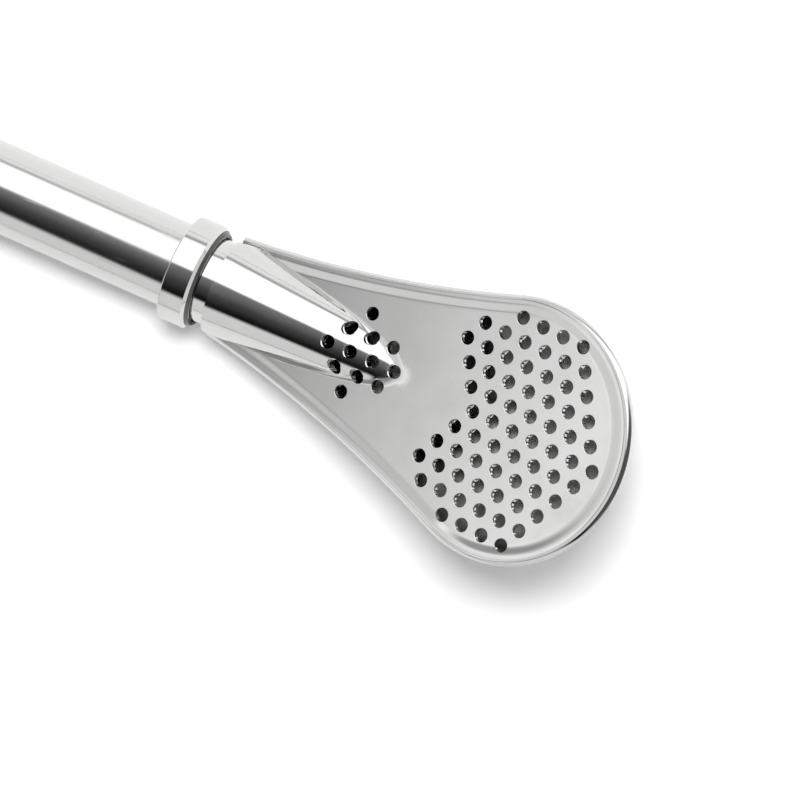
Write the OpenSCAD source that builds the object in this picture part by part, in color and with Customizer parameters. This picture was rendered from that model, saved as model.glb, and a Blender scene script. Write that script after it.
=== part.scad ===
// Bombilla: a metal drinking straw with a flattened mouth end and a spoon-shaped
// filter that screws off. The stem lies along X from the mouth end at the origin,
// the filter's front face looks up, and all sizes are in millimetres.

/* [Stem] */
// Outside diameter of the tube
stem_d = 8; // [7:0.1:10]
// Wall of the tube
stem_wall = 0.5; // [0.4:0.05:0.8]
// Length of the tube from the mouth end to the collar
stem_len = 138; // [100:1:180]
// Width of the flattened mouth end
mouth_w = 7.8; // [6.5:0.1:7.9]
// Thickness of the flattened mouth end
mouth_t = 4.4; // [3.6:0.1:6]
// Length of the flattened mouth end
mouth_flat_len = 14; // [8:1:30]
// Length over which the round tube becomes flat
mouth_taper_len = 22; // [12:1:35]
// Rounding of the lip
lip_round = 0.2; // [0.05:0.05:0.2]

/* [Collar] */
// Outside diameter of the collar
collar_d = 10; // [9.6:0.1:13]
// Length of the collar
collar_len = 2.9; // [2.2:0.1:6]
// Rounding of the collar's edge towards the stem
collar_round = 0.15; // [0.1:0.05:0.5]
// Rounding of the collar's edge towards the filter
collar_nose = 0.6; // [0.3:0.05:0.7]
// Length of the collar's sleeve inside the tube
sleeve_len = 4; // [3.5:0.1:10]
// Depth of the seat that holds the washer and the nipple's shoulder
seat_depth = 0.9; // [0.8:0.05:1.6]

/* [Screw joint] */
// Thread diameter of the nipple
thread_d = 6; // [5.5:0.1:6.2]
// Pitch of the thread
thread_pitch = 0.75; // [0.5:0.05:0.75]
// Turns from tight to the last thread
thread_turns = 6; // [3:1:6]
// Thread that is still held after those turns
thread_lead = 0.7; // [0.4:0.1:0.9]
// Bore of the nipple
nipple_bore_d = 4.2; // [3:0.1:4.6]
// Outside diameter of the nipple's neck
neck_d = 8; // [7.4:0.1:8.4]
// Length of the neck that shows between the collar and the filter
neck_len = 1.4; // [0.8:0.1:4]
// Length of the nipple's tail inside the filter's socket
tail_len = 3; // [2:0.1:3.1]
// Thickness of the sealing washer
seal_t = 0.7; // [0.4:0.05:0.75]
// Radial clearance of the thread
thread_gap = 0.05; // [0.02:0.01:0.1]
// Radial clearance round the washer and in the collar's seat
seat_gap = 0.1; // [0.05:0.01:0.15]

/* [Filter] */
// Width across the round end of the filter
head_w = 23.7; // [21:0.1:30]
// Length of the filter from its socket's mouth to its tip
head_len = 44.2; // [40:0.1:58]
// Outside diameter of the filter's socket at its mouth
socket_d = 9.2; // [9:0.1:9.4]
// Width of the filter across the rim at its socket's mouth
throat_w = 9.6; // [9.4:0.1:11]
// Radius of the hollow flanks between the socket and the round end
flank_r = 130; // [100:5:300]
// Angle by which the filter is bent up from the stem
bend_angle = 18; // [5:1:25]
// Distance of the bend inside the socket's mouth
bend_depth = 3.2; // [3.15:0.05:5]
// Thickness of the sheet
sheet_t = 0.5; // [0.4:0.05:0.6]
// Height of the rim above the plane where the shells meet
rim_h = 0.65; // [0.6:0.05:1.2]
// Height over which the rim's outer edge is rolled over
rim_roll = 0.55; // [0.3:0.05:0.55]
// Height of the perforated face above the plane where the shells meet
face_h = 0.6; // [0.55:0.05:1.2]
// Width of the flat border between the rim and the slope to the face
border_w = 0.25; // [0.2:0.05:0.8]
// Width of the slope from the border up to the face
slope_w = 0.95; // [0.6:0.05:2]
// Depth of the rear pan, and the radius of its walls
pan_r = 3.7; // [3.2:0.1:3.9]
// Length of the rounded heel behind the socket, from its mouth
heel_len = 8; // [7:0.1:11]

/* [Channel] */
// Length of the raised channel from the socket's mouth
channel_len = 22; // [18:0.5:26]
// Outside diameter of the channel at its far end
channel_end_d = 5.3; // [4:0.1:7]
// Angle by which the channel dips into the face
channel_dip = 9.5; // [5:0.5:12]
// Rounding where the channel and the heel meet the sheet
fillet = 0.3; // [0.2:0.1:1]

/* [Filter holes] */
// Diameter of each hole
hole_d = 1.24; // [0.8:0.02:1.5]
// Distance between neighbouring holes
hole_pitch = 2.18; // [2:0.02:2.4]
// Distance of the pattern's middle past the centre of the round end
pattern_shift = 1.5; // [0.5:0.1:2]
// Reach of the rear holes from the centre of the round end
rear_hole_reach = 9; // [5:0.1:9.4]
// Distance of the middle of the rear holes past the centre of the round end
rear_shift = 0.9; // [0:0.1:2]

/* [Hidden] */
$fn = 96;
steel = [0.80, 0.80, 0.79];
silicone = [0.90, 0.90, 0.88];

// Room by which cutting solids pass what they cut
over = 1;

// Stem and joint, along X
stem_r = stem_d / 2;
bore_r = stem_r - stem_wall;
taper_end = mouth_flat_len + mouth_taper_len;
collar_end = stem_len + collar_len;
seat_floor = collar_end - seat_depth;
shoulder_x = seat_floor + seal_t;
spigot_len = seal_t + thread_turns * thread_pitch + thread_lead;
throat_x = collar_end + neck_len;
bend_x = throat_x + bend_depth;

// Neck of the nipple, and the socket round it
neck_r = neck_d / 2;
socket_r = socket_d / 2;

// Outline of the filter, about the centre of its round end
round_r = head_w / 2;
round_x = head_len - bend_depth - round_r;
throat = [-bend_depth - round_x, throat_w / 2];
throat_far = norm(throat);
throat_dir = throat / throat_far;
centres = round_r + flank_r;
along = (centres * centres - flank_r * flank_r + throat_far * throat_far) / (2 * throat_far);
across = sqrt(centres * centres - along * along);
flank_c = [along * throat_dir.x + across * throat_dir.y, along * throat_dir.y - across * throat_dir.x];
round_angle = atan2(flank_c.y, flank_c.x);
// Length by which the shells reach past the socket's mouth before they are cut off there
tail_run = 2.5;
flank_from = atan2(throat.y - flank_c.y, throat.x - flank_c.x) - tail_run / flank_r * 180 / PI;
flank_to = round_angle - 180;

// Rows across the filter, from the socket along one flank, round the tip and back along the other
flank_rows = 18;
round_rows = 40;
last_row = 2 * flank_rows + round_rows;

// Steps across each row
slope_steps = 6;
face_steps = 9;
rim_steps = 4;
wall_steps = 9;
floor_steps = 5;

// Front sheet, by distance in from the outline
slope_from = sheet_t + border_w;
slope_to = slope_from + slope_w;
slope_lag = 0.1;
rim_round = 0.2 * sheet_t;
roll_w = 0.7 * sheet_t;

// Socket's mouth and heel in the filter's frame, and the radius left inside before the seat is cut
mouth_x = -bend_depth * cos(bend_angle);
mouth_z = bend_depth * sin(bend_angle);
inside_r = neck_r - 0.2;
heel_c = heel_len - bend_depth - socket_r;
channel_fade = (socket_r - channel_end_d / 2) / channel_len;

// Size of the space that a cutting box covers, and a height below everything
reach = 40;
deep = -reach;

// Holes in each row of the heart, from the middle row outwards: first hole and count, in pitches
heart_rows = [[-2.5, 7], [-3, 7], [-3.5, 7], [-4, 7], [-3.5, 6], [-2, 4]];
// Holes in each row of the cluster on the channel, in the same way
channel_rows = [[-9.5, 4], [-9, 3], [-8.5, 1]];

// A quarter round as points, from one angle to another
function arc(c, r, a0, a1, steps) = [for (i = [0 : steps])
    let (a = a0 + (a1 - a0) * i / steps) c + r * [cos(a), sin(a)]];

// A smooth rise from 0 to 1
function rise(t) = (1 - cos(180 * min(max(t, 0), 1))) / 2;

// The larger of two heights, rounded where they meet
function blend(a, b) = let (h = max(fillet - abs(a - b), 0)) max(a, b) + h * h / (4 * fillet);

// One row: its place on the outline, its direction inward and its length to the middle line
function flank_row(i) =
    let (
        a = flank_from + (flank_to - flank_from) * i / flank_rows,
        n = [cos(a), sin(a)],
        p = flank_c + flank_r * n)
    [p, n, -p.y / n.y];
function round_row(i) =
    let (a = round_angle * (1 - 2 * i / round_rows), n = [cos(a), sin(a)])
    [round_r * n, -n, round_r];
function flipped(row) = [[row[0].x, -row[0].y], [row[1].x, -row[1].y], row[2]];
ROWS = concat(
    [for (i = [0 : flank_rows - 1]) flank_row(i)],
    [for (i = [0 : round_rows]) round_row(i)],
    [for (i = [flank_rows - 1 : -1 : 0]) flipped(flank_row(i))]);

// The place on a row at a distance in from the outline
function spot(row, s) = row[0] + s * row[1] + [round_x, 0];

// Height of the channel's cone over a place, for the radius at the socket's mouth
function channel_z(p, r0) =
    let (
        c = cos(channel_dip), s = sin(channel_dip), k = channel_fade,
        x = p.x - mouth_x, r = r0 - k * x * c,
        qa = c * c - k * k * s * s, qb = x * s * c - k * s * r, qc = x * x * s * s + p.y * p.y - r * r,
        q = qb * qb - qa * qc)
    q < 0 ? deep : mouth_z + (sqrt(q) - qb) / qa;

// Height of the round heel's underside over a place, for its radius
function heel_z(p, r) =
    let (
        q = r * r - p.y * p.y,
        tube = q < 0 ? -deep : -(sqrt(q) + p.x * sin(bend_angle)) / cos(bend_angle),
        c = heel_c * [cos(bend_angle), -sin(bend_angle)],
        b = q - (p.x - c.x) * (p.x - c.x))
    p.x * cos(bend_angle) - tube * sin(bend_angle) <= heel_c ? tube : b < 0 ? -deep : c.y - sqrt(b);

// Heights of the front sheet's outside and inside on a row
function front_steps(row) = concat(
    [sheet_t],
    [for (i = [0 : slope_steps]) slope_from + slope_w * i / slope_steps],
    [for (i = [1 : face_steps]) slope_to + (row[2] - slope_to) * i / face_steps]);
function front_skin(row, base, lag, r0) = [for (s = front_steps(row))
    let (p = spot(row, s), z = base + (face_h - sheet_t) * rise((s - slope_from - lag) / slope_w))
    [p.x, p.y, blend(z, channel_z(p, r0))]];

// The same for the rear pan, whose rim, wall and floor are given as distance in and height
function rear_skin(row, rim, wall_r, r) =
    let (wall = arc([pan_r, 0], wall_r, 180, 270, wall_steps))
    concat(
        [for (q = rim) let (p = spot(row, q.x)) [p.x, p.y, q.y]],
        [for (q = wall) let (p = spot(row, q.x)) [p.x, p.y, -blend(-q.y, -heel_z(p, r))]],
        [for (i = [1 : floor_steps]) let (p = spot(row, pan_r + (row[2] - pan_r) * i / floor_steps))
            [p.x, p.y, -blend(wall_r, -heel_z(p, r))]]);

// A place in the staggered pattern of holes, by its column and row, from the pattern's middle
function hole_spot(col, row, shift) = hole_pitch * [col, row * sqrt(3) / 2] + [round_x + shift, 0];

// Both sides of every row of holes in the front sheet
function front_holes(rows) = [
    for (r = [0 : len(rows) - 1], side = r == 0 ? [1] : [1, -1], i = [0 : rows[r][1] - 1])
    hole_spot(rows[r][0] + i, side * r, pattern_shift)];

// The round field of holes in the rear pan
function rear_holes() = [
    let (n = ceil(rear_hole_reach / hole_pitch) + 1)
    for (r = [-n : n], i = [-n : n])
    let (p = hole_spot(i + (r % 2 == 0 ? 0.5 : 0), r, rear_shift))
    if (norm(p - [round_x, 0]) <= rear_hole_reach) p];

module along_x(x) {
    translate([x, 0, 0]) rotate([0, 90, 0]) children();
}

// Frame of the filter: the origin is the bend, X runs to the tip and Z out of the front face
module in_head() {
    translate([bend_x, 0, 0]) rotate([0, -bend_angle, 0]) children();
}

// A flat bar with round sides, along X
module flat_bar(x, len, w, t) {
    translate([x, 0, 0]) {
        translate([0, -(w - t) / 2, -t / 2]) cube([len, w - t, t]);
        for (side = [1, -1]) translate([0, side * (w - t) / 2, 0]) rotate([0, 90, 0])
            cylinder(d = t, h = len);
    }
}

// The round tube drawn down and pressed flat at the mouth, smaller by the given inset
module stem_form(inset, before, after) {
    slice = 0.01;
    w = mouth_w - 2 * inset;
    t = mouth_t - 2 * inset;
    along_x(taper_end) cylinder(r = stem_r - inset, h = stem_len - taper_end + after);
    hull($fn = 48) {
        flat_bar(mouth_flat_len, slice, w, t);
        along_x(taper_end) cylinder(r = stem_r - inset, h = slice);
    }
    flat_bar(-before, mouth_flat_len + before + slice, w, t);
}

module stem_tube() {
    color(steel) difference() {
        stem_form(0, -lip_round, 0);
        stem_form(stem_wall, over, over);
    }
    color(steel) difference() {
        hull($fn = 48) {
            flat_bar(0, lip_round / 4, mouth_w - lip_round, mouth_t - lip_round);
            flat_bar(lip_round, lip_round / 4, mouth_w, mouth_t);
        }
        flat_bar(-over, lip_round + 2 * over, mouth_w - 2 * stem_wall, mouth_t - 2 * stem_wall);
    }
}

// A ring with rounded outer edges, closed to its axis
module rounded_disc(r, len, low_round, high_round) {
    rotate_extrude() polygon(concat(
        [[0, 0]],
        arc([r - low_round, low_round], low_round, -90, 0, 6),
        arc([r - high_round, len - high_round], high_round, 0, 90, 6),
        [[0, len]]));
}

module threaded_collar() {
    color(steel) difference() {
        union() {
            along_x(stem_len) rounded_disc(collar_d / 2, collar_len, collar_round, collar_nose);
            along_x(stem_len - sleeve_len) cylinder(r = bore_r, h = sleeve_len + over);
        }
        along_x(stem_len - sleeve_len - over)
            cylinder(r = thread_d / 2 + thread_gap, h = sleeve_len + collar_len + 2 * over);
        along_x(seat_floor) cylinder(r = neck_r + seat_gap, h = seat_depth + over);
    }
}

module sealing_washer() {
    color(silicone) along_x(seat_floor) difference() {
        cylinder(r = neck_r, h = seal_t);
        translate([0, 0, -over]) cylinder(r = thread_d / 2 + seat_gap, h = seal_t + 2 * over);
    }
}

module threaded_nipple() {
    lead_in = 0.3;
    color(steel) along_x(shoulder_x) difference() {
        union() {
            translate([0, 0, -spigot_len])
                cylinder(r1 = thread_d / 2 - lead_in, r2 = thread_d / 2, h = lead_in);
            translate([0, 0, lead_in - spigot_len]) cylinder(d = thread_d, h = spigot_len);
            cylinder(r = neck_r, h = throat_x - shoulder_x + tail_len);
        }
        translate([0, 0, -spigot_len - over])
            cylinder(d = nipple_bore_d, h = spigot_len + neck_len + collar_len + tail_len + 2 * over);
    }
}

// Number of a point in one skin of a sheet: both sides of a row share the points on the middle line
function at(i, j, cols) = j < cols - 1 ? i * (cols - 1) + j
    : (last_row + 1) * (cols - 1) + min(i, last_row - i, flank_rows);

// A four-sided face as triangles, without those that have no area
function split(q) = [for (t = [[q[0], q[1], q[2]], [q[0], q[2], q[3]]])
    if (t[0] != t[1] && t[1] != t[2] && t[2] != t[0]) t];

// All points of one skin
function points_of(skin) = let (cols = len(skin[0])) concat(
    [for (row = skin, j = [0 : cols - 2]) row[j]],
    [for (i = [0 : flank_rows]) skin[i][cols - 1]]);

// A closed sheet between an upper and a lower skin, both given row by row from the edge to the middle line
module sheet(upper, lower) {
    n = len(points_of(upper));
    cols = len(upper[0]);
    quads = concat(
        [for (i = [0 : last_row - 1], j = [0 : cols - 2])
            [at(i, j, cols), at(i + 1, j, cols), at(i + 1, j + 1, cols), at(i, j + 1, cols)]],
        [for (i = [0 : last_row - 1], j = [0 : cols - 2])
            [n + at(i, j + 1, cols), n + at(i + 1, j + 1, cols), n + at(i + 1, j, cols), n + at(i, j, cols)]],
        [for (i = [0 : last_row - 1])
            [at(i + 1, 0, cols), at(i, 0, cols), n + at(i, 0, cols), n + at(i + 1, 0, cols)]],
        [for (j = [0 : cols - 2])
            [at(0, j, cols), at(0, j + 1, cols), n + at(0, j + 1, cols), n + at(0, j, cols)]],
        [for (i = last_row, j = [0 : cols - 2])
            [at(i, j + 1, cols), at(i, j, cols), n + at(i, j, cols), n + at(i, j + 1, cols)]]);
    polyhedron(concat(points_of(upper), points_of(lower)), [for (q = quads) each split(q)]);
}

// The seat of the nipple's tail
module tail_seat() {
    along_x(throat_x - over) cylinder(r = neck_r, h = tail_len + over);
}

// Cuts off what reaches past the socket's mouth towards the stem
module past_throat() {
    translate([throat_x - reach, -reach / 2, -reach / 2]) cube([reach, reach, reach]);
}

// Straight punches through the sheet at the given places, in the filter's frame
module punches(places, low, high) {
    for (p = places) translate([p.x, p.y, low]) cylinder(d = hole_d, h = high - low, $fn = 24);
}

module front_shell() {
    color(steel) difference() {
        in_head() sheet(
            [for (row = ROWS) front_skin(row, sheet_t, 0, socket_r)],
            [for (row = ROWS) front_skin(row, 0, slope_lag, inside_r)]);
        tail_seat();
        past_throat();
        in_head() punches(front_holes(heart_rows), -over, face_h + over);
        in_head() punches(front_holes(channel_rows), -over, socket_r + over);
    }
}

module rear_shell() {
    inner_rim = arc([sheet_t - rim_round, rim_h - rim_round], rim_round, 90, 0, rim_steps);
    outer_rim = [for (i = [0 : rim_steps]) let (a = 90 * i / rim_steps)
        [roll_w * (1 - sin(a)), rim_h - rim_roll * (1 - cos(a))]];
    color(steel) difference() {
        in_head() sheet(
            [for (row = ROWS) rear_skin(row, inner_rim, pan_r - sheet_t, inside_r)],
            [for (row = ROWS) rear_skin(row, outer_rim, pan_r, socket_r)]);
        tail_seat();
        past_throat();
        in_head() punches(rear_holes(), -pan_r - over, -over);
    }
}

stem_tube();
threaded_collar();
sealing_washer();
threaded_nipple();
front_shell();
rear_shell();
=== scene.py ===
# Bombilla: a drinking tube with a screwed collar and a pressed, perforated spoon filter, in polished steel.
from math import asin, atan2, ceil, cos, hypot, pi, radians, sin, sqrt, tan

import bmesh
import bpy
from mathutils import Matrix, Vector


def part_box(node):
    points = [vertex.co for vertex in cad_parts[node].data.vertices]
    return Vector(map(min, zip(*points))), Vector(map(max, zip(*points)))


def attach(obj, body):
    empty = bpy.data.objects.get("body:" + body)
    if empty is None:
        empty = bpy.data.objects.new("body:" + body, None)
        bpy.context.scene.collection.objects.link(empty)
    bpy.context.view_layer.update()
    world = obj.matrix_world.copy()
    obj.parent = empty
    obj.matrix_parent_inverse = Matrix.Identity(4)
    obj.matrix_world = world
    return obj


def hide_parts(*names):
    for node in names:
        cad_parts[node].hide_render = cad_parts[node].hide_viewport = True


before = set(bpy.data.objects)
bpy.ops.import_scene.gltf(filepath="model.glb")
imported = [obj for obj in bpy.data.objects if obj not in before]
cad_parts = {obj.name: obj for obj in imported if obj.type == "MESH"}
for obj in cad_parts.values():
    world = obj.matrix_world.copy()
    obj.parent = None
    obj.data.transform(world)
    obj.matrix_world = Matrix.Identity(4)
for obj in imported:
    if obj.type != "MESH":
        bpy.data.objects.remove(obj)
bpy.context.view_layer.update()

# Sizes in millimetres, turned into metres when a piece is finished
MM = 0.001
WELD = 1e-4
CUT_NEAR = 0.01
CREASE = radians(25)
ROUND_STEPS = 128
EDGE_STEPS = 3
LIP_STEPS = 6
TAPER_STEPS = 40


def box_mm(node):
    """A CAD node's lowest and highest corners, in millimetres."""
    low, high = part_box(node)
    return low / MM, high / MM


stem_low, stem_high = box_mm("stem_tube")
collar_low, collar_high = box_mm("threaded_collar")
seal_low, seal_high = box_mm("sealing_washer")
nipple_low, nipple_high = box_mm("threaded_nipple")
rear_low, rear_high = box_mm("rear_shell")

# Drinking tube
stem_len = stem_high.x
stem_r = stem_high.y
stem_wall = 0.5
mouth_half_w = 3.9
mouth_half_t = 2.2
mouth_flat_len = 14
mouth_taper_len = 22
lip_round = 0.2

# Collar, seal and nipple
collar_end = collar_high.x
collar_r = collar_high.y
collar_round = 0.15
collar_nose = 0.6
edge_round = 0.1
seat_r = 4.1
seat_floor = seal_low.x
seal_r = seal_high.y
seal_bore_r = 3.1
seal_round = 0.15
shoulder_x = seal_high.x
thread_r = 3.0
thread_depth = 0.38
thread_pitch = 0.75
thread_gap = 0.05
lead_in = 0.3
nipple_bore_r = 2.1
neck_r = nipple_high.y

# Filter: its bend, outline and sheet
bend = radians(18)
bend_depth = 3.2
throat_x = rear_low.x
bend_x = throat_x + bend_depth
head_w = rear_high.y - rear_low.y
head_len = 44.2
throat_half_w = 4.8
flank_r = 130
sheet_t = 0.5
rim_h = 0.65
rim_round = 0.1
rim_clear = 0.02
roll_w = 0.34
roll_edge = 0.08
roll_turn = radians(36)
roll_steep = radians(50)
rim_flare = 0.16
overhang = 0.3
flare_depth = 0.6
face_h = 0.6
slope_from = 0.75
slope_w = 0.95
slope_lag = 0.1
pan_r = 3.7
socket_r = 4.6
inside_r = 3.8
heel_len = 8
channel_len = 22
channel_end_r = 2.65
channel_dip = radians(9.5)
fillet = 0.3
foot_w = 0.35

# Filter holes, and the punches that cut them
hole_r = 0.62
hole_pitch = 2.18
pattern_shift = 1.5
rear_hole_reach = 9
rear_shift = 0.9
hole_flare = 0.06
hole_roll = radians(60)
punch_spare = 1
punch_rise = 3
ROLL_STEPS = 4
HOLE_STEPS = 32
# First hole, in pitches, and count of holes in each row from the middle row outwards
heart_rows = [(-2.5, 7), (-3, 7), (-3.5, 7), (-4, 7), (-3.5, 6), (-2, 4)]
channel_rows = [(-9.5, 4), (-9, 3), (-8.5, 1)]

# Outline of the filter about the centre of its round end
round_r = head_w / 2
round_x = head_len - bend_depth - round_r
throat = Vector((-bend_depth - round_x, throat_half_w))
centres = round_r + flank_r
throat_dir = throat.normalized()
along = (centres ** 2 - flank_r ** 2 + throat.length_squared) / (2 * throat.length)
across = sqrt(centres ** 2 - along ** 2)
flank_c = Vector((along * throat_dir.x + across * throat_dir.y, along * throat_dir.y - across * throat_dir.x))
round_angle = atan2(flank_c.y, flank_c.x)
tail_run = 2.5
flank_from = atan2(throat.y - flank_c.y, throat.x - flank_c.x) - tail_run / flank_r
flank_to = round_angle - pi
mouth = Vector((-bend_depth * cos(bend), bend_depth * sin(bend)))
heel_c = heel_len - bend_depth - socket_r
channel_fade = (socket_r - channel_end_r) / channel_len
FAR = 40
FLANK_ROWS = 60
ROUND_ROWS = 128
LAST_ROW = 2 * FLANK_ROWS + ROUND_ROWS


def rise(t):
    """A smooth rise from 0 to 1."""
    return (1 - cos(pi * min(max(t, 0), 1))) / 2


def blend(a, b):
    """The larger of two heights, rounded where they meet."""
    h = max(fillet - abs(a - b), 0)
    return max(a, b) + h * h / (4 * fillet)


def outline_row(i):
    """A row across the sheet: its place on the outline, its way inward and its length to the middle line."""
    if i > LAST_ROW / 2:
        place, inward, length = outline_row(LAST_ROW - i)
        return Vector((place.x, -place.y)), Vector((inward.x, -inward.y)), length
    if i >= FLANK_ROWS:
        a = round_angle * (1 - 2 * (i - FLANK_ROWS) / ROUND_ROWS)
        out = Vector((cos(a), sin(a)))
        return round_r * out, -out, round_r
    a = flank_from + (flank_to - flank_from) * i / FLANK_ROWS
    out = Vector((cos(a), sin(a)))
    place = flank_c + flank_r * out
    return place, out, -place.y / out.y


ROWS = [outline_row(i) for i in range(LAST_ROW + 1)]


def spot(row, s):
    """The place on a row at a distance in from the outline."""
    place = row[0] + s * row[1]
    return Vector((place.x + round_x, place.y))


def channel_z(p, r0):
    """Height of the channel's dipped cone over a place, for its radius at the socket's mouth."""
    c, s, k = cos(channel_dip), sin(channel_dip), channel_fade
    x = p.x - mouth.x
    r = r0 - k * x * c
    qa = c * c - k * k * s * s
    qb = x * s * c - k * s * r
    q = qb * qb - qa * (x * x * s * s + p.y * p.y - r * r)
    return -FAR if q < 0 else mouth.y + (sqrt(q) - qb) / qa


def heel_z(p, r):
    """Height of the round heel's underside over a place, for its radius."""
    q = r * r - p.y * p.y
    tube = FAR if q < 0 else -(sqrt(q) + p.x * sin(bend)) / cos(bend)
    if p.x * cos(bend) - tube * sin(bend) <= heel_c:
        return tube
    b = q - (p.x - heel_c * cos(bend)) ** 2
    return FAR if b < 0 else -heel_c * sin(bend) - sqrt(b)


# Mesh helpers
def moulded(bm, columns, rows, place, finish=0):
    """A grid of faces with each corner moved to where place(column, row) says, and its seams welded."""
    corners = bmesh.ops.create_grid(bm, x_segments=columns, y_segments=rows, size=1)["verts"]
    for face in {face for corner in corners for face in corner.link_faces}:
        face.material_index = finish
    for corner in corners:
        i = round((corner.co.x + 1) / 2 * columns)
        j = round((corner.co.y + 1) / 2 * rows)
        corner.co = place(i, j)
    bmesh.ops.remove_doubles(bm, verts=corners, dist=WELD)


def arc(x, r, radius, start, end, steps=6):
    """Points of a round from one angle to another, in degrees."""
    angles = [radians(start + (end - start) * i / steps) for i in range(steps + 1)]
    return [(x + radius * cos(a), r + radius * sin(a)) for a in angles]


def turned(bm, profile):
    """A closed profile of places along X and radii, turned about X as on a lathe."""
    corners = [bm.verts.new((x, r, 0)) for x, r in profile]
    edges = [bm.edges.new((a, b)) for a, b in zip(corners, corners[1:] + corners[:1])]
    bmesh.ops.spin(bm, geom=corners + edges, cent=(0, 0, 0), axis=(1, 0, 0), angle=2 * pi,
                   steps=ROUND_STEPS, use_merge=True)
    bmesh.ops.recalc_face_normals(bm, faces=bm.faces)


def in_head(bm):
    """Turns and moves a shape from the filter's own frame to the bend in the socket."""
    bmesh.ops.rotate(bm, cent=(0, 0, 0), matrix=Matrix.Rotation(-bend, 3, "Y"), verts=bm.verts)
    bmesh.ops.translate(bm, vec=(bend_x, 0, 0), verts=bm.verts)


def close_loops(bm):
    """Bridges the open edges of two skins into one closed sheet."""
    bmesh.ops.bridge_loops(bm, edges=[e for e in bm.edges if e.is_boundary])
    bmesh.ops.recalc_face_normals(bm, faces=bm.faces)


def object_of(bm, name):
    """A new object from a shape in millimetres."""
    mesh = bpy.data.meshes.new(name)
    bm.to_mesh(mesh)
    bm.free()
    piece = bpy.data.objects.new(name, mesh)
    bpy.context.scene.collection.objects.link(piece)
    return piece


def punch(piece, cutters):
    """Cuts the punches out of a piece and drops them."""
    cut = piece.modifiers.new("punch", "BOOLEAN")
    cut.operation = "DIFFERENCE"
    cut.solver = "EXACT"
    cut.object = cutters
    depsgraph = bpy.context.evaluated_depsgraph_get()
    punched = bpy.data.meshes.new_from_object(piece.evaluated_get(depsgraph))
    piece.modifiers.clear()
    piece.data = punched
    bpy.data.objects.remove(cutters)


def finished(piece, finishes, body, node):
    """Brings a piece to metres, smooths it up to its creases and puts it in the place of its CAD node."""
    piece.data.transform(Matrix.Scale(MM, 4))
    piece.data.shade_smooth()
    piece.data.set_sharp_from_angle(angle=CREASE)
    piece.modifiers.new("even_shade", "WEIGHTED_NORMAL").keep_sharp = True
    for finish in finishes:
        piece.data.materials.append(finish)
    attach(piece, body)
    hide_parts(node)
    return piece


# Finishes
def node_of(tree, kind, **values):
    """A node with its settings and the values of its sockets."""
    made = tree.nodes.new(kind)
    for key, value in values.items():
        if key in made.inputs:
            made.inputs[key].default_value = value
        else:
            setattr(made, key, value)
    return made


def polish_group():
    """What polishing leaves on steel: soft smears, fine scratches and a slight unevenness."""
    smear_tint, line_tint = 0.45, 0.25
    group = bpy.data.node_groups.new("polish_marks", "ShaderNodeTree")
    sockets = group.interface
    sockets.new_socket("Vector", in_out="INPUT", socket_type="NodeSocketVector")
    for name in ("Smear", "Scratch", "Base Roughness"):
        sockets.new_socket(name, in_out="INPUT", socket_type="NodeSocketFloat")
    for name in ("Roughness", "Height", "Tint"):
        sockets.new_socket(name, in_out="OUTPUT", socket_type="NodeSocketFloat")
    given = group.nodes.new("NodeGroupInput")
    out = group.nodes.new("NodeGroupOutput")
    link = group.links.new
    smears = node_of(group, "ShaderNodeTexNoise", Scale=160, Detail=4, Roughness=0.6)
    fine = node_of(group, "ShaderNodeTexNoise", Scale=2600, Detail=3, Roughness=0.65)
    waves = node_of(group, "ShaderNodeTexNoise", Scale=90, Detail=1)
    for texture in (smears, fine, waves):
        link(given.outputs["Vector"], texture.inputs["Vector"])
    lines = node_of(group, "ShaderNodeMapRange", **{"From Min": 0.62, "From Max": 0.8})
    link(fine.outputs["Fac"], lines.inputs["Value"])
    smear = node_of(group, "ShaderNodeMapRange", **{"From Min": 0.4, "From Max": 0.75})
    link(smears.outputs["Fac"], smear.inputs["Value"])
    smear_share = node_of(group, "ShaderNodeMath", operation="MULTIPLY")
    link(smear.outputs["Result"], smear_share.inputs[0])
    link(given.outputs["Smear"], smear_share.inputs[1])
    line_share = node_of(group, "ShaderNodeMath", operation="MULTIPLY")
    link(lines.outputs["Result"], line_share.inputs[0])
    link(given.outputs["Scratch"], line_share.inputs[1])
    marks = node_of(group, "ShaderNodeMath", operation="ADD")
    link(smear_share.outputs[0], marks.inputs[0])
    link(line_share.outputs[0], marks.inputs[1])
    rough = node_of(group, "ShaderNodeMath", operation="ADD")
    link(marks.outputs[0], rough.inputs[0])
    link(given.outputs["Base Roughness"], rough.inputs[1])
    link(rough.outputs[0], out.inputs["Roughness"])
    depth = node_of(group, "ShaderNodeMath", operation="MULTIPLY_ADD")
    depth.inputs[1].default_value = -1
    link(line_share.outputs[0], depth.inputs[0])
    link(waves.outputs["Fac"], depth.inputs[2])
    link(depth.outputs[0], out.inputs["Height"])
    tint = node_of(group, "ShaderNodeMath", operation="MULTIPLY_ADD")
    tint.inputs[1].default_value = smear_tint
    dark_lines = node_of(group, "ShaderNodeMath", operation="MULTIPLY")
    dark_lines.inputs[1].default_value = line_tint
    link(lines.outputs["Result"], dark_lines.inputs[0])
    link(smear.outputs["Result"], tint.inputs[0])
    link(dark_lines.outputs[0], tint.inputs[2])
    link(tint.outputs[0], out.inputs["Tint"])
    return group


polish = polish_group()
CLEAN_STEEL = (0.80, 0.80, 0.795, 1)
MARKED_STEEL = (0.70, 0.69, 0.68, 1)
MARK_DEPTH = 0.00002


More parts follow.
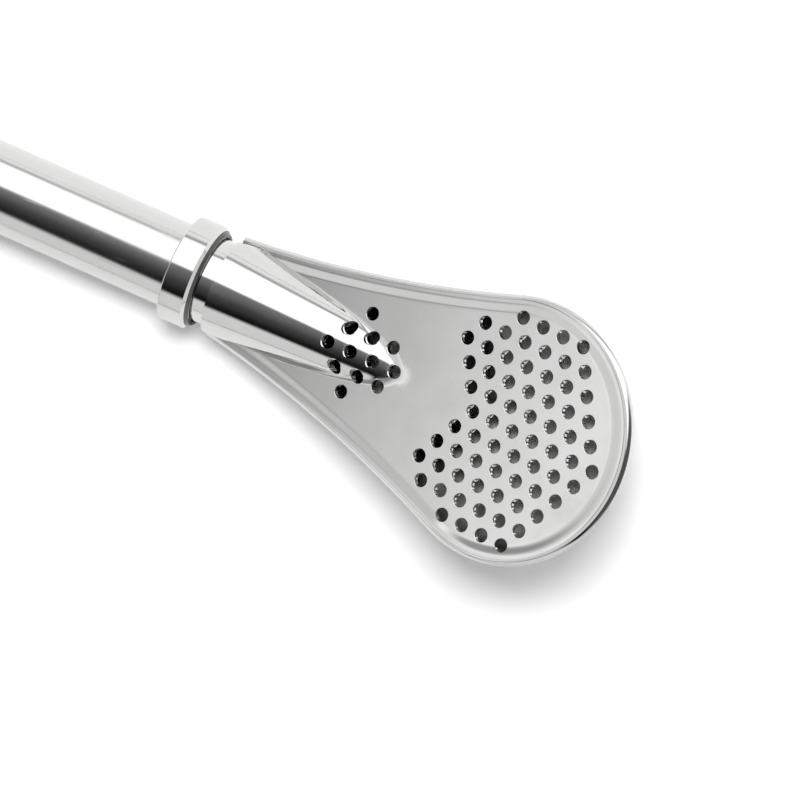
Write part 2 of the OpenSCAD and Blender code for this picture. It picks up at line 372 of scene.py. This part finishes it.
def steel(name, stretch, smear, scratch, roughness, bump, clean=CLEAN_STEEL, marked=MARKED_STEEL):
    """Polished steel whose marks are stretched along the way it was worked."""
    made = bpy.data.materials.new(name)
    made.use_nodes = True
    tree = made.node_tree
    shader = tree.nodes["Principled BSDF"]
    shader.inputs["Metallic"].default_value = 1
    place = tree.nodes.new("ShaderNodeTexCoord")
    turn = node_of(tree, "ShaderNodeMapping", Scale=stretch)
    marks = node_of(tree, "ShaderNodeGroup", node_tree=polish)
    marks.inputs["Smear"].default_value = smear
    marks.inputs["Scratch"].default_value = scratch
    marks.inputs["Base Roughness"].default_value = roughness
    tint = node_of(tree, "ShaderNodeMix", data_type="RGBA")
    tint.inputs["A"].default_value = clean
    tint.inputs["B"].default_value = marked
    relief = node_of(tree, "ShaderNodeBump", Strength=bump, Distance=MARK_DEPTH)
    link = tree.links.new
    link(place.outputs["Object"], turn.inputs["Vector"])
    link(turn.outputs["Vector"], marks.inputs["Vector"])
    link(marks.outputs["Roughness"], shader.inputs["Roughness"])
    link(marks.outputs["Tint"], tint.inputs["Factor"])
    link(tint.outputs["Result"], shader.inputs["Base Color"])
    link(marks.outputs["Height"], relief.inputs["Height"])
    link(relief.outputs["Normal"], shader.inputs["Normal"])
    return made


def silicone(name):
    """Soft white silicone with a faint grain."""
    made = bpy.data.materials.new(name)
    made.use_nodes = True
    tree = made.node_tree
    shader = tree.nodes["Principled BSDF"]
    shader.inputs["Subsurface Weight"].default_value = 0.3
    shader.inputs["Subsurface Radius"].default_value = (0.001, 0.001, 0.001)
    place = tree.nodes.new("ShaderNodeTexCoord")
    grain = node_of(tree, "ShaderNodeTexNoise", Scale=1500, Detail=3)
    shade = node_of(tree, "ShaderNodeMix", data_type="RGBA")
    shade.inputs["A"].default_value = (0.88, 0.88, 0.86, 1)
    shade.inputs["B"].default_value = (0.93, 0.93, 0.91, 1)
    sheen = node_of(tree, "ShaderNodeMapRange", **{"To Min": 0.45, "To Max": 0.6})
    link = tree.links.new
    link(place.outputs["Object"], grain.inputs["Vector"])
    link(grain.outputs["Fac"], shade.inputs["Factor"])
    link(shade.outputs["Result"], shader.inputs["Base Color"])
    link(grain.outputs["Fac"], sheen.inputs["Value"])
    link(sheen.outputs["Result"], shader.inputs["Roughness"])
    return made


# Each steel: the stretch of its marks, then its smears, scratches, roughness and relief
drawn_steel = steel("drawn_steel", (0.08, 1, 1), 0.10, 0.22, 0.10, 0.12)
turned_steel = steel("turned_steel", (2.5, 0.4, 0.4), 0.05, 0.05, 0.06, 0.12)
pressed_steel = steel("pressed_steel", (1, 1, 1), 0.06, 0.08, 0.06, 0.35)
# Inside of the filter shells: rougher pressed steel whose colour is darkened as painted shade in the hollow
inside_steel_painted_shade = steel("inside_steel_painted_shade", (1, 1, 1), 0.2, 0.2, 0.2, 0.6,
                     clean=(0.5, 0.495, 0.49, 1), marked=(0.26, 0.256, 0.252, 1))
# Collar's end face: rougher turned steel, painted nearly black as painted shade of the dark gap it faces
end_steel_painted_shade = steel("end_steel_painted_shade", (2.5, 0.4, 0.4), 0.1, 0.1, 0.22, 0.2,
                  clean=(0.13, 0.128, 0.125, 1), marked=(0.08, 0.078, 0.076, 1))
white_silicone = silicone("white_silicone")
# Places of a piece's finishes: outside, and where it is left as turned or pressed, rougher and with its
# colour darkened as painted shade
POLISHED, UNPOLISHED_PAINTED_SHADE = 0, 1


# Drinking tube
def tube_place(x, inset, turn):
    """A place on the tube's wall: a round tube pressed into a flat bar with round sides at the mouth."""
    t = rise((x - mouth_flat_len) / mouth_taper_len)
    half_w = mouth_half_w + (stem_r - mouth_half_w) * t - inset
    half_t = mouth_half_t + (stem_r - mouth_half_t) * t - inset
    side = (half_w - half_t) * (1 if cos(turn) >= 0 else -1)
    return Vector((x, side + half_t * cos(turn), half_t * sin(turn)))


def drinking_tube():
    """The tube's outside, its rounded lip and its bore, in one closed wall."""
    quarter = [radians(90 * i / LIP_STEPS) for i in range(LIP_STEPS + 1)]
    lip = [(lip_round * (1 - sin(a)), lip_round * (1 - cos(a))) for a in quarter]
    taper = [mouth_flat_len + mouth_taper_len * i / TAPER_STEPS for i in range(TAPER_STEPS + 1)]
    outside = [(stem_len, 0)] + [(x, 0) for x in reversed(taper)] + lip
    path = outside + [(x, stem_wall - inset) for x, inset in reversed(lip)]
    path += [(x, stem_wall) for x in taper] + [(stem_len, stem_wall), (stem_len, 0)]
    bm = bmesh.new()
    moulded(bm, ROUND_STEPS, len(path) - 1,
            lambda i, j: tube_place(path[j][0], path[j][1], 2 * pi * i / ROUND_STEPS))
    bmesh.ops.recalc_face_normals(bm, faces=bm.faces)
    return finished(object_of(bm, "drinking_tube"), [drawn_steel], "stem", "stem_tube")


# Collar, seal and nipple
def screw_collar():
    """The flange with its chamfer, its seat and bore, and the sleeve inside the tube."""
    bore_r = thread_r + thread_gap
    sleeve_r = stem_r - stem_wall
    half_nose = collar_nose / 2
    profile = [(collar_low.x, bore_r), (collar_low.x, sleeve_r), (stem_len, sleeve_r)]
    profile += arc(stem_len + collar_round, collar_r - collar_round, collar_round, 180, 90)
    profile += arc(collar_end - collar_nose, collar_r - edge_round, edge_round, 90, 45, EDGE_STEPS)
    profile += [(collar_end - half_nose, collar_r - half_nose)]
    profile += arc(collar_end - edge_round, collar_r - collar_nose, edge_round, 45, 0, EDGE_STEPS)
    profile += arc(collar_end - edge_round, seat_r + edge_round, edge_round, 0, -90, EDGE_STEPS)
    profile += [(seat_floor, seat_r), (seat_floor, bore_r)]
    bm = bmesh.new()
    turned(bm, profile)
    # The end face and its chamfer take the rough finish painted dark as painted shade
    for face in bm.faces:
        at_end = face.calc_center_median().x > collar_end - half_nose
        face.material_index = UNPOLISHED_PAINTED_SHADE if at_end else POLISHED
    return finished(object_of(bm, "screw_collar"), [turned_steel, end_steel_painted_shade],
                    "stem", "threaded_collar")


def seal_ring():
    """The washer, with its edges rounded."""
    r = seal_round
    x0, x1 = seal_low.x, seal_high.x
    profile = arc(x0 + r, seal_bore_r + r, r, 270, 180) + arc(x0 + r, seal_r - r, r, 180, 90)
    profile += arc(x1 - r, seal_r - r, r, 90, 0) + arc(x1 - r, seal_bore_r + r, r, 360, 270)
    bm = bmesh.new()
    turned(bm, profile)
    return finished(object_of(bm, "seal_ring"), [white_silicone], "seal", "sealing_washer")


def thread(bm, start, end):
    """A right-hand thread on a bored spigot: a line of teeth turned and moved on by a pitch, then cut."""
    root_r = thread_r - thread_depth
    early_turns, spare_turns = 2, 3
    # A tooth in shares of the pitch: the flat of the root, the flank and the crest
    tooth = [(0, root_r), (0.25, root_r), (0.5625, thread_r), (0.6875, thread_r)]
    count = ceil((end - start) / thread_pitch) + spare_turns
    line = [(start + (k - early_turns + x) * thread_pitch, r) for k in range(count) for x, r in tooth]
    corners = [bm.verts.new((x, r, 0)) for x, r in line]
    edges = [bm.edges.new(pair) for pair in zip(corners, corners[1:])]
    bmesh.ops.spin(bm, geom=corners + edges, cent=(0, 0, 0), axis=(1, 0, 0), angle=2 * pi,
                   steps=ROUND_STEPS, dvec=(thread_pitch / ROUND_STEPS, 0, 0))
    bmesh.ops.remove_doubles(bm, verts=bm.verts, dist=WELD)
    for x, out in ((start, -1), (end, 1)):
        bmesh.ops.bisect_plane(bm, geom=bm.verts[:] + bm.edges[:] + bm.faces[:], dist=WELD,
                               plane_co=(x, 0, 0), plane_no=(out, 0, 0), clear_outer=True)
    for corner in bm.verts:
        limit = thread_r - lead_in + corner.co.x - start
        r = hypot(corner.co.y, corner.co.z)
        if r > limit:
            corner.co.yz = corner.co.yz * (limit / r)
    bore = bmesh.ops.create_cone(bm, cap_ends=False, segments=ROUND_STEPS, radius1=nipple_bore_r,
                                 radius2=nipple_bore_r, depth=end - start)["verts"]
    bmesh.ops.rotate(bm, cent=(0, 0, 0), matrix=Matrix.Rotation(pi / 2, 3, "Y"), verts=bore)
    bmesh.ops.translate(bm, vec=((start + end) / 2, 0, 0), verts=bore)
    for x in (start, end):
        rim = [e for e in bm.edges if e.is_boundary and abs(e.verts[0].co.x - x) < CUT_NEAR]
        bmesh.ops.bridge_loops(bm, edges=rim)
    bmesh.ops.recalc_face_normals(bm, faces=bm.faces)


def neck_nipple():
    """The threaded spigot, the shoulder, the neck that shows and the tail inside the socket."""
    bm = bmesh.new()
    thread(bm, nipple_low.x, shoulder_x)
    profile = [(shoulder_x, nipple_bore_r)]
    profile += arc(shoulder_x + edge_round, neck_r - edge_round, edge_round, 180, 90, EDGE_STEPS)
    profile += [(nipple_high.x, neck_r), (nipple_high.x, nipple_bore_r)]
    turned(bm, profile)
    return finished(object_of(bm, "neck_nipple"), [turned_steel], "head", "threaded_nipple")


# Filter shells: steps over the border, the slope, the face, the channel's foot and the channel,
# on the outside and on the inside
OUTER_STEPS = (2, 12, 40, 16, 32)
INNER_STEPS = (1, 4, 10, 8, 10)
RIM_STEPS = 8
WALL_STEPS = 20
FLOOR_STEPS = 14
FOOT_TRIES = 30


def channel_foot(row, sheet_z, r0):
    """How far in from the outline the channel leaves the sheet, or past the middle line if it doesn't."""
    outer, inner = sheet_t, row[2]
    if channel_z(spot(row, inner), r0) < sheet_z(inner):
        return row[2] + foot_w
    for _ in range(FOOT_TRIES):
        middle = (outer + inner) / 2
        if channel_z(spot(row, middle), r0) > sheet_z(middle):
            inner = middle
        else:
            outer = middle
    return inner


def front_steps(row, foot, counts):
    """How far in from the outline the front sheet has its corners on one row, closest at the foot."""
    near = min(max(foot - foot_w, sheet_t), row[2])
    far = min(max(foot + foot_w, near), row[2])
    marks = [sheet_t, min(slope_from, near), min(slope_from + slope_w, near), near, far, row[2]]
    steps = [a + (b - a) * i / n for a, b, n in zip(marks, marks[1:], counts) for i in range(n)]
    return steps + [row[2]]


def front_skin(bm, base, lag, r0, counts, finish):
    """One side of the front sheet: the border, the slope to the face, and the channel that fades into it."""
    def sheet_z(s):
        return base + (face_h - sheet_t) * rise((s - slope_from - lag) / slope_w)

    steps = [front_steps(row, channel_foot(row, sheet_z, r0), counts) for row in ROWS]

    def place(i, j):
        p = spot(ROWS[i], steps[i][j])
        return Vector((p.x, p.y, blend(sheet_z(steps[i][j]), channel_z(p, r0))))

    moulded(bm, LAST_ROW, len(steps[0]) - 1, place, finish)


def rolled_rim():
    """The rim's outer edge: a narrow top, then a long roll between two tight turns."""
    tight = roll_edge * (1 - sin(roll_steep) + sin(roll_turn))
    long_roll = (roll_w - tight) / (sin(roll_steep) - sin(roll_turn))
    turns = ((0, roll_turn, roll_edge), (roll_turn, roll_steep, long_roll), (roll_steep, pi / 2, roll_edge))
    points = []
    place, height = roll_w, rim_h
    for start, end, radius in turns:
        for i in range(RIM_STEPS):
            a = start + (end - start) * i / RIM_STEPS
            points.append((place - radius * (sin(a) - sin(start)), height - radius * (cos(start) - cos(a))))
        place -= radius * (sin(end) - sin(start))
        height -= radius * (cos(start) - cos(end))
    return points


def rear_skin(bm, rim, wall_r, r, flare, flare_low, finish):
    """One side of the rear pan: its rim, its round wall, and its floor with the heel under the socket."""
    below = rim[-1][1] - rim_clear
    wall = [point for point in arc(pan_r, 0, wall_r, 180, 270, WALL_STEPS) if point[1] < below]

    def flared(row, s, z):
        """A place on the rim or the wall, moved out at the rim and in under it towards the filter's tip."""
        under = rise((flare_low - z) / flare_depth)
        shift = max(-row[1].x, 0) * (flare * (1 - under) - overhang * under)
        p = spot(row, s - shift)
        return Vector((p.x, p.y, z - max(shift, 0) * tan(bend)))

    def place(i, j):
        if j < len(rim):
            return flared(ROWS[i], *rim[j])
        j -= len(rim)
        if j < len(wall):
            p = flared(ROWS[i], *wall[j])
            return Vector((p.x, p.y, -blend(-p.z, -heel_z(p, r))))
        step = (j - len(wall) + 1) / FLOOR_STEPS
        p = spot(ROWS[i], pan_r + (ROWS[i][2] - pan_r) * step)
        return Vector((p.x, p.y, -blend(wall_r, -heel_z(p, r))))

    moulded(bm, LAST_ROW, len(rim) + len(wall) + FLOOR_STEPS - 1, place, finish)


def cut_throat(bm):
    """Cuts a shell off square at the socket's mouth and closes the cut."""
    cut = bmesh.ops.bisect_plane(bm, geom=bm.verts[:] + bm.edges[:] + bm.faces[:], dist=CUT_NEAR,
                                 plane_co=(throat_x, 0, 0), plane_no=(-1, 0, 0), clear_outer=True)
    edges = [e for e in cut["geom_cut"] if isinstance(e, bmesh.types.BMEdge)]
    bmesh.ops.triangle_fill(bm, use_beauty=True, edges=edges)
    bmesh.ops.recalc_face_normals(bm, faces=bm.faces)


def hole_spot(column, row, shift):
    """A place in the staggered pattern of holes, from the pattern's middle."""
    return Vector((round_x + shift + hole_pitch * column, hole_pitch * row * sqrt(3) / 2))


def front_holes(rows):
    """Both sides of every row of holes in the front sheet."""
    places = []
    for r, (first, count) in enumerate(rows):
        for side in ((1, -1) if r else (1,)):
            places += [hole_spot(first + i, side * r, pattern_shift) for i in range(count)]
    return places


def rear_holes():
    """The round field of holes in the rear pan."""
    n = ceil(rear_hole_reach / hole_pitch) + 1
    field = [hole_spot(i + (0 if r % 2 else 0.5), r, rear_shift)
             for r in range(-n, n + 1) for i in range(-n, n + 1)]
    return [p for p in field if hypot(p.x - round_x, p.y) <= rear_hole_reach]


def punches(places, low, top_of):
    """Round punches whose shoulders roll the edge of each hole."""
    roll = [hole_roll * i / ROLL_STEPS for i in range(ROLL_STEPS + 1)]
    bm = bmesh.new()
    for p in places:
        top = top_of(p)
        profile = [(0, low), (hole_r, low)]
        for a in roll:
            profile.append((hole_r + hole_flare * (1 - cos(a)), top - hole_flare + hole_flare * sin(a)))
        last_r, last_z = profile[-1]
        wide_r = last_r + hole_flare
        profile.append((wide_r, last_z + hole_flare / tan(hole_roll)))
        profile += [(wide_r, top + punch_rise), (0, top + punch_rise)]
        corners = [bm.verts.new((p.x + r, p.y, z)) for r, z in profile]
        edges = [bm.edges.new(pair) for pair in zip(corners, corners[1:])]
        bmesh.ops.spin(bm, geom=corners + edges, cent=(p.x, p.y, 0), axis=(0, 0, 1), angle=2 * pi,
                       steps=HOLE_STEPS, use_merge=True)
    bmesh.ops.remove_doubles(bm, verts=bm.verts, dist=WELD)
    bmesh.ops.recalc_face_normals(bm, faces=bm.faces)
    in_head(bm)
    return object_of(bm, "punches")


def perforated_front():
    """The pressed front sheet with its channel and its punched heart of holes."""
    bm = bmesh.new()
    front_skin(bm, sheet_t, 0, socket_r, OUTER_STEPS, POLISHED)
    # The inner skin takes the rough finish whose colour is darkened as painted shade
    front_skin(bm, 0, slope_lag, inside_r, INNER_STEPS, UNPOLISHED_PAINTED_SHADE)
    close_loops(bm)
    in_head(bm)
    cut_throat(bm)
    piece = object_of(bm, "perforated_front")
    places = front_holes(heart_rows) + front_holes(channel_rows)
    punch(piece, punches(places, -punch_spare, lambda p: blend(face_h, channel_z(p, socket_r))))
    return finished(piece, [pressed_steel, inside_steel_painted_shade], "head", "front_shell")


def rear_pan():
    """The pressed rear pan whose edge stands up as the rim round the front sheet."""
    inner_rim = arc(sheet_t - rim_round, rim_h - rim_round, rim_round, 90, 0, RIM_STEPS)
    bm = bmesh.new()
    # The inner skin takes the rough finish whose colour is darkened as painted shade
    rear_skin(bm, inner_rim, pan_r - sheet_t, inside_r, 0, 0, UNPOLISHED_PAINTED_SHADE)
    rear_skin(bm, rolled_rim(), pan_r, socket_r, rim_flare, rim_h / 2, POLISHED)
    close_loops(bm)
    # The rim's inner side keeps the polished finish, without the painted shade of the inside
    for face in bm.faces:
        if face.calc_center_median().z > 0:
            face.material_index = POLISHED
    in_head(bm)
    cut_throat(bm)
    piece = object_of(bm, "rear_pan")
    punch(piece, punches(rear_holes(), -pan_r - punch_spare, lambda p: sheet_t - pan_r))
    return finished(piece, [pressed_steel, inside_steel_painted_shade], "head", "rear_shell")


drinking_tube()
screw_collar()
seal_ring()
neck_nipple()
perforated_front()
rear_pan()


# Camera at the photograph's viewing angle
camera_data = bpy.data.cameras.new("camera")
camera_data.sensor_width = 36
camera_data.lens = 225
camera_data.clip_start = 0.01
camera = bpy.data.objects.new("camera", camera_data)
bpy.context.scene.collection.objects.link(camera)
image_right = Vector((0.896747, 0.375658, -0.233936))
image_up = Vector((-0.399340, 0.914708, -0.061942))
to_camera = image_right.cross(image_up)
camera_place = Vector((0.246736, 0.063798, 0.434872))
camera_turn = Matrix((image_right, image_up, to_camera)).transposed()
camera.matrix_world = Matrix.Translation(camera_place) @ camera_turn.to_4x4()
bpy.context.scene.camera = camera

# Floor under the mouth end and the collar
FLOOR_SIZE = 3
floor_tilt = asin((collar_r - mouth_half_t) / (stem_len + collar_round))
floor_mesh = bmesh.new()
bmesh.ops.create_grid(floor_mesh, x_segments=1, y_segments=1, size=FLOOR_SIZE)
bmesh.ops.translate(floor_mesh, vec=(0, 0, -mouth_half_t * MM), verts=floor_mesh.verts)
bmesh.ops.rotate(floor_mesh, cent=(0, 0, -mouth_half_t * MM), matrix=Matrix.Rotation(floor_tilt, 3, "Y"),
                 verts=floor_mesh.verts)
floor = object_of(floor_mesh, "floor")


def floor_finish():
    """White card that keeps the shadow and looks evenly white to the eye and in the steel."""
    card, lift_seen, lift_in_steel = 0.9, 0.24, 0.1
    made = bpy.data.materials.new("white_card")
    made.use_nodes = True
    tree = made.node_tree
    shader = tree.nodes["Principled BSDF"]
    shader.inputs["Base Color"].default_value = (card, card, card, 1)
    shader.inputs["Roughness"].default_value = 0.9
    shader.inputs["Specular IOR Level"].default_value = 0
    shader.inputs["Emission Color"].default_value = (1, 1, 1, 1)
    path = tree.nodes.new("ShaderNodeLightPath")
    seen = node_of(tree, "ShaderNodeMath", operation="MULTIPLY_ADD")
    seen.inputs[1].default_value = lift_in_steel
    lift = node_of(tree, "ShaderNodeMath", operation="MULTIPLY")
    lift.inputs[1].default_value = lift_seen
    tree.links.new(path.outputs["Is Glossy Ray"], seen.inputs[0])
    tree.links.new(path.outputs["Is Camera Ray"], seen.inputs[2])
    tree.links.new(seen.outputs[0], lift.inputs[0])
    tree.links.new(lift.outputs[0], shader.inputs["Emission Strength"])
    return made


floor.data.materials.append(floor_finish())


# Studio round the object. Grey levels by the angle from straight up towards +Y, in degrees
BANDS = [(-180, 0.7), (-59, 0.75), (-51, 0.005), (-42, 0.012), (-20, 0.06), (8, 0.2), (13, 1.6), (69, 1.4),
         (73, 0.42), (77, 0.42), (81, 0.95), (91, 0.95), (100, 0.75)]
# Grey levels by a direction's part along X at the mouth end: straight on, and towards -Y
LEFT_WALL = [(-0.775, 0.05), (-0.742, 0.42), (-0.72, 0.74), (-0.69, 1.02), (-0.66, 0.8), (-0.5, 0.75)]
NEAR_WALL = [(-0.75, 0.5), (-0.728, 1.2), (-0.68, 0.36), (-0.5, 0.3)]
# Grey levels by a direction's part along Z beyond the filter
END_WALL = [(0.48, 0.75), (0.62, 0.09)]
# One level at the mouth end towards +Y
FAR_WALL = 0.75
# Where each of these fades into the next, by a direction's part along Y, Y, X and X
NEAR_ZONE, FAR_ZONE, STEM_ZONE, END_ZONE = (-0.2, -0.42), (-0.08, 0.06), (-0.45, -0.34), (0.36, 0.52)
DIFFUSE_SHARE = 0.42


def ramp(tree, value, low, high, stops):
    """Grey levels over a value's range."""
    share = node_of(tree, "ShaderNodeMapRange", **{"From Min": low, "From Max": high})
    tree.links.new(value, share.inputs["Value"])
    levels = tree.nodes.new("ShaderNodeValToRGB")
    tree.links.new(share.outputs["Result"], levels.inputs["Fac"])
    elements = levels.color_ramp.elements
    while len(elements) < len(stops):
        elements.new(0.5)
    for element, (place, level) in zip(elements, stops):
        element.position = (place - low) / (high - low)
        element.color = (level, level, level, 1)
    return levels.outputs["Color"]


def zone(tree, value, start, end):
    """A smooth step from 0 at the start to 1 at the end."""
    step = node_of(tree, "ShaderNodeMapRange", interpolation_type="SMOOTHSTEP",
                   **{"From Min": min(start, end), "From Max": max(start, end)})
    if start > end:
        step.inputs["To Min"].default_value = 1
        step.inputs["To Max"].default_value = 0
    tree.links.new(value, step.inputs["Value"])
    return step.outputs["Result"]


def mixed(tree, factor, a, b):
    """A grey mixed with another, which is a plain level or a node's output."""
    mix = node_of(tree, "ShaderNodeMix", data_type="RGBA")
    tree.links.new(factor, mix.inputs["Factor"])
    tree.links.new(a, mix.inputs["A"])
    if isinstance(b, float):
        mix.inputs["B"].default_value = (b, b, b, 1)
    else:
        tree.links.new(b, mix.inputs["B"])
    return mix.outputs["Result"]


def studio():
    """A light surround: dark and bright bands along the stem, and walls of their own at both its ends."""
    world = bpy.data.worlds.new("studio")
    bpy.context.scene.world = world
    world.use_nodes = True
    tree = world.node_tree
    link = tree.links.new
    look = tree.nodes.new("ShaderNodeTexCoord")
    axes = tree.nodes.new("ShaderNodeSeparateXYZ")
    link(look.outputs["Generated"], axes.inputs["Vector"])
    lean = node_of(tree, "ShaderNodeMath", operation="ARCTAN2")
    link(axes.outputs["Y"], lean.inputs[0])
    link(axes.outputs["Z"], lean.inputs[1])
    bands = ramp(tree, lean.outputs[0], -pi, pi, [(radians(angle), level) for angle, level in BANDS])
    x, y, z = (axes.outputs[axis] for axis in "XYZ")
    left = ramp(tree, x, -1, 1, LEFT_WALL)
    near = ramp(tree, x, -1, 1, NEAR_WALL)
    side = mixed(tree, zone(tree, y, *NEAR_ZONE), left, near)
    side = mixed(tree, zone(tree, y, *FAR_ZONE), side, FAR_WALL)
    front = mixed(tree, zone(tree, x, *STEM_ZONE), side, bands)
    far = mixed(tree, zone(tree, x, *END_ZONE), front, ramp(tree, z, -1, 1, END_WALL))
    path = tree.nodes.new("ShaderNodeLightPath")
    level = node_of(tree, "ShaderNodeMapRange", **{"To Min": 1, "To Max": DIFFUSE_SHARE})
    link(path.outputs["Is Diffuse Ray"], level.inputs["Value"])
    link(level.outputs["Result"], tree.nodes["Background"].inputs["Strength"])
    link(far, tree.nodes["Background"].inputs["Color"])


def soft_lamp():
    """A large lamp over the far side of the tube, which throws the soft shadow on the floor."""
    lamp_size, lamp_watts = 0.15, 2.7
    aim = Vector((0.15, 0, 0))
    from_aim = Vector((0.07, 0.18, 0.55))
    data = bpy.data.lights.new("soft_lamp", "AREA")
    data.shape = "RECTANGLE"
    data.size = lamp_size
    data.size_y = lamp_size
    data.energy = lamp_watts
    lamp = bpy.data.objects.new("soft_lamp", data)
    bpy.context.scene.collection.objects.link(lamp)
    lamp.location = aim + from_aim
    lamp.rotation_euler = from_aim.to_track_quat("Z", "Y").to_euler()
    lamp.visible_glossy = False


studio()
soft_lamp()
bpy.context.scene.view_settings.view_transform = "Standard"
